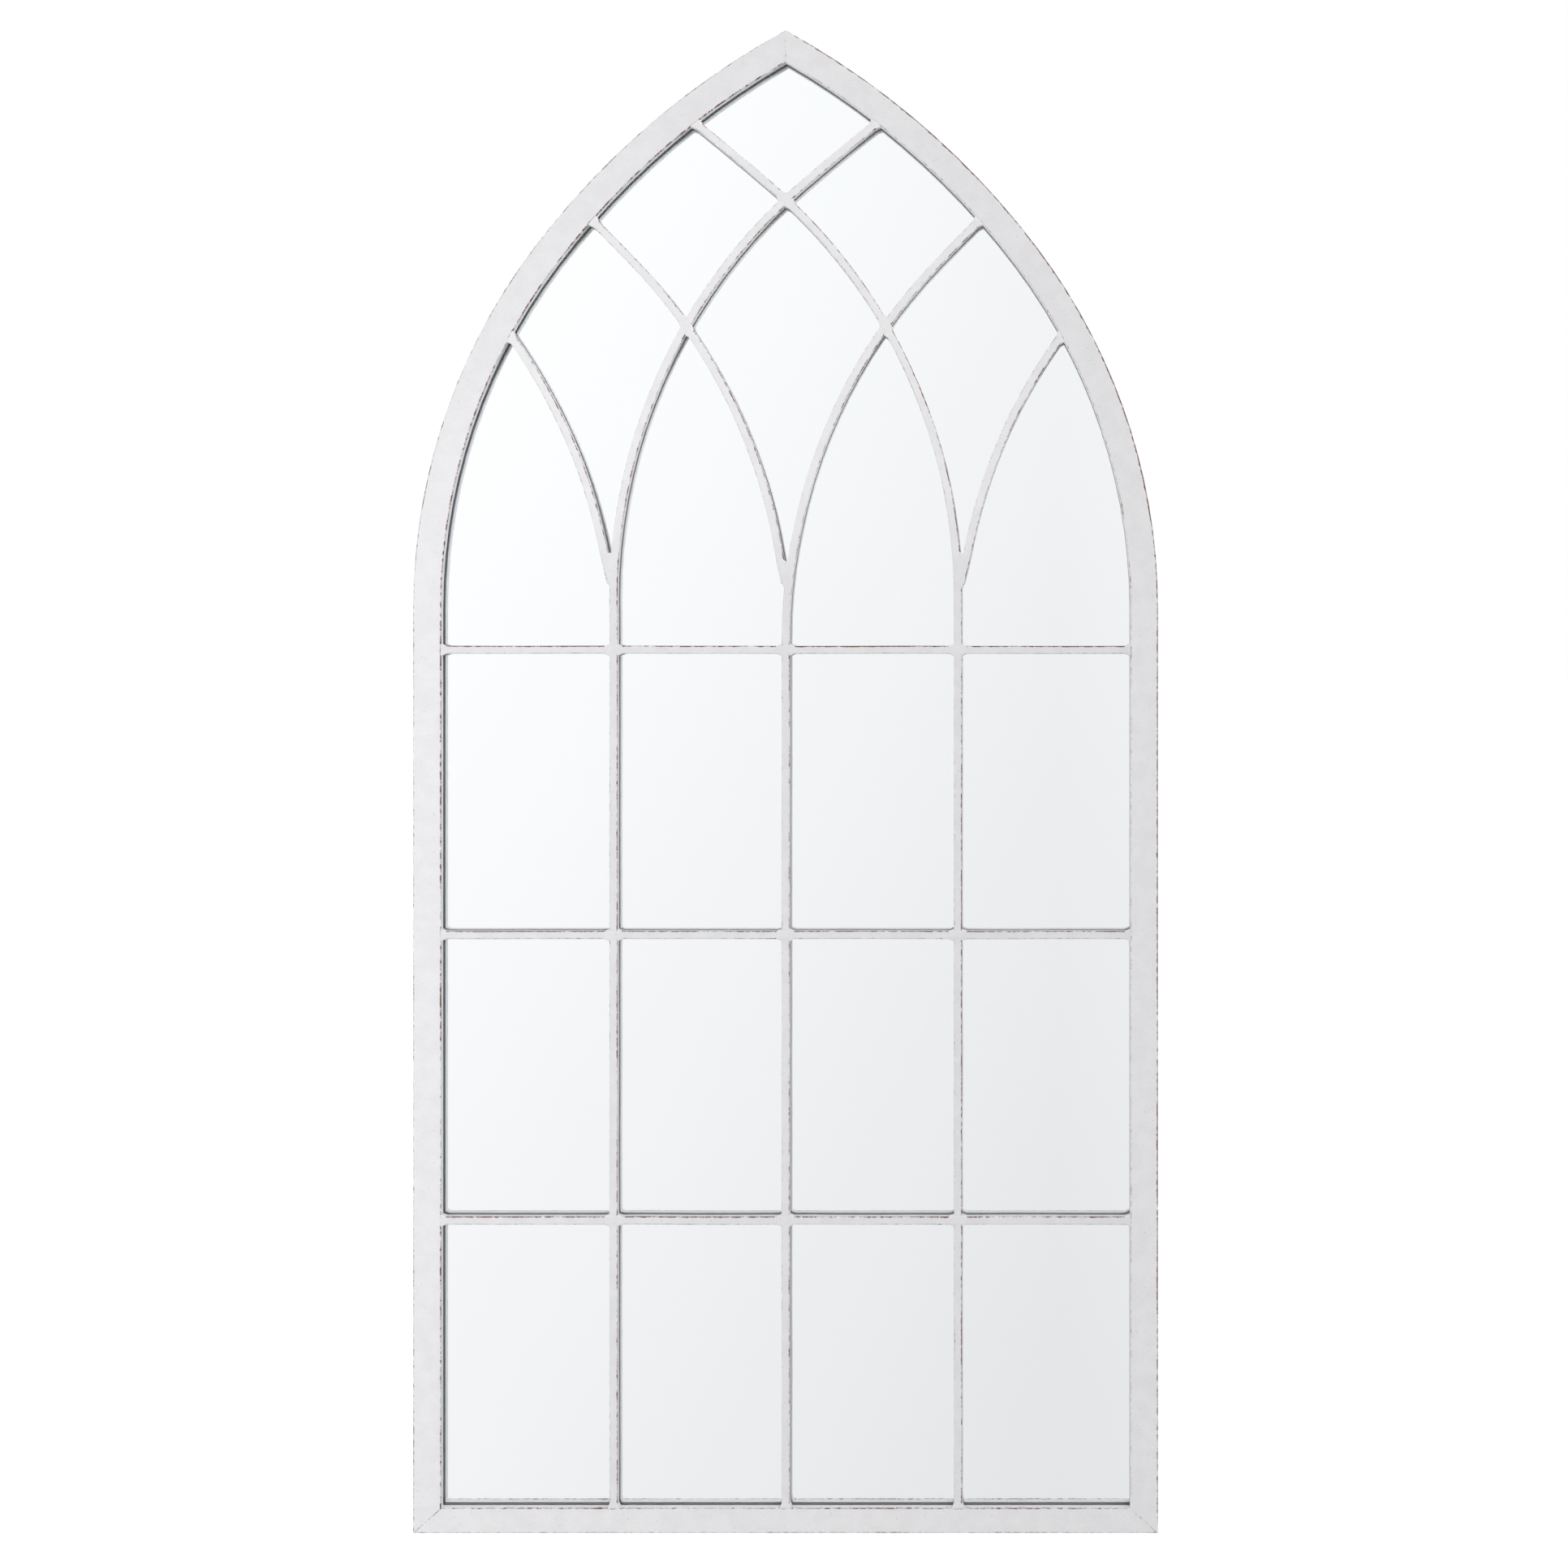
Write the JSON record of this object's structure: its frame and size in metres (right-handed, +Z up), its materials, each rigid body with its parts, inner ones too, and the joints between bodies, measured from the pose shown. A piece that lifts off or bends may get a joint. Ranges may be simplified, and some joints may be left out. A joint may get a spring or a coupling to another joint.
{
  "type": "window mirror",
  "caption": "Pointed-arch wall mirror made like a steel window: painted frame, glazing bars and tracery over a mirror sheet, with a board held by turn buttons and D-ring hangers behind.",
  "frame": {"origin": "on the wall plane, level with the bottom edge, under the middle of the mirror", "axes": "+X to the right seen from the front, +Y from the front into the wall, +Z up"},
  "size_m": [0.694, 0.0186, 1.4003],
  "materials": {
    "painted_steel": "matt off-white paint, worn along the edges",
    "mirror": "silvered float glass",
    "glazing_tape": "pale grey foam tape",
    "hardboard": "brown hardboard, smooth face out",
    "zinc_steel": "zinc plated",
    "bumper_rubber": "matt black rubber"
  },
  "bodies": {
    "frame": {"left_frame_bar": "painted_steel", "right_frame_bar": "painted_steel", "bottom_frame_bar": "painted_steel", "left_rear_bar": "painted_steel", "right_rear_bar": "painted_steel", "bottom_rear_bar": "painted_steel", "left_glazing_bar": "painted_steel", "middle_glazing_bar": "painted_steel", "right_glazing_bar": "painted_steel", "right_tracery_middle": "painted_steel", "right_tracery_top": "painted_steel", "left_side_branch": "painted_steel", "right_side_branch": "painted_steel", "middle_branch_lower": "painted_steel", "middle_branch_upper": "painted_steel", "cross_bar_row1_bay1": "painted_steel", "cross_bar_row1_bay2": "painted_steel", "cross_bar_row1_bay3": "painted_steel", "cross_bar_row1_bay4": "painted_steel", "cross_bar_row2_bay1": "painted_steel", "cross_bar_row2_bay2": "painted_steel", "cross_bar_row2_bay3": "painted_steel", "cross_bar_row2_bay4": "painted_steel", "cross_bar_row3_bay1": "painted_steel", "cross_bar_row3_bay2": "painted_steel", "cross_bar_row3_bay3": "painted_steel", "cross_bar_row3_bay4": "painted_steel", "left_glazing_tape": "glazing_tape", "right_glazing_tape": "glazing_tape", "bottom_glazing_tape": "glazing_tape", "mirror_glass": "mirror", "backing_board": "hardboard", "turn_button_screws": "zinc_steel", "left_hanger_strap": "zinc_steel", "right_hanger_strap": "zinc_steel", "hanger_screws": "zinc_steel", "wall_bumpers": "bumper_rubber"},
    "turn_button_01": {"turn_button_01": "zinc_steel"},
    "turn_button_02": {"turn_button_02": "zinc_steel"},
    "turn_button_03": {"turn_button_03": "zinc_steel"},
    "turn_button_04": {"turn_button_04": "zinc_steel"},
    "turn_button_05": {"turn_button_05": "zinc_steel"},
    "turn_button_06": {"turn_button_06": "zinc_steel"},
    "turn_button_07": {"turn_button_07": "zinc_steel"},
    "turn_button_08": {"turn_button_08": "zinc_steel"},
    "turn_button_09": {"turn_button_09": "zinc_steel"},
    "turn_button_10": {"turn_button_10": "zinc_steel"},
    "left_hanger_ring": {"left_hanger_ring": "zinc_steel"},
    "right_hanger_ring": {"right_hanger_ring": "zinc_steel"}
  },
  "joints": [
    {"name": "turn_button_01_turn", "type": "hinge", "parent": "frame", "child": "turn_button_01", "pos_m": [-0.339, -0.0051, 0.23274], "axis": [0, 1, 0], "continuous": true},
    {"name": "turn_button_02_turn", "type": "hinge", "parent": "frame", "child": "turn_button_02", "pos_m": [-0.339, -0.0051, 0.62064], "axis": [0, 1, 0], "continuous": true},
    {"name": "turn_button_03_turn", "type": "hinge", "parent": "frame", "child": "turn_button_03", "pos_m": [-0.30589, -0.0051, 1.04977], "axis": [0, 1, 0], "continuous": true},
    {"name": "turn_button_04_turn", "type": "hinge", "parent": "frame", "child": "turn_button_04", "pos_m": [-0.11468, -0.0051, 1.31228], "axis": [0, 1, 0], "continuous": true},
    {"name": "turn_button_05_turn", "type": "hinge", "parent": "frame", "child": "turn_button_05", "pos_m": [0.339, -0.0051, 0.23274], "axis": [0, 1, 0], "continuous": true},
    {"name": "turn_button_06_turn", "type": "hinge", "parent": "frame", "child": "turn_button_06", "pos_m": [0.339, -0.0051, 0.62064], "axis": [0, 1, 0], "continuous": true},
    {"name": "turn_button_07_turn", "type": "hinge", "parent": "frame", "child": "turn_button_07", "pos_m": [0.30589, -0.0051, 1.04977], "axis": [0, 1, 0], "continuous": true},
    {"name": "turn_button_08_turn", "type": "hinge", "parent": "frame", "child": "turn_button_08", "pos_m": [0.11468, -0.0051, 1.31228], "axis": [0, 1, 0], "continuous": true},
    {"name": "turn_button_09_turn", "type": "hinge", "parent": "frame", "child": "turn_button_09", "pos_m": [-0.1735, -0.0051, 0.008], "axis": [0, 1, 0], "continuous": true},
    {"name": "turn_button_10_turn", "type": "hinge", "parent": "frame", "child": "turn_button_10", "pos_m": [0.1735, -0.0051, 0.008], "axis": [0, 1, 0], "continuous": true},
    {"name": "left_hanger_ring_swing", "type": "hinge", "parent": "frame", "child": "left_hanger_ring", "pos_m": [-0.339, -0.00315, 0.8], "axis": [1, 0, 0], "range_deg": [0, 180]},
    {"name": "right_hanger_ring_swing", "type": "hinge", "parent": "frame", "child": "right_hanger_ring", "pos_m": [0.339, -0.00315, 0.8], "axis": [1, 0, 0], "range_deg": [0, 180]}
  ]
}
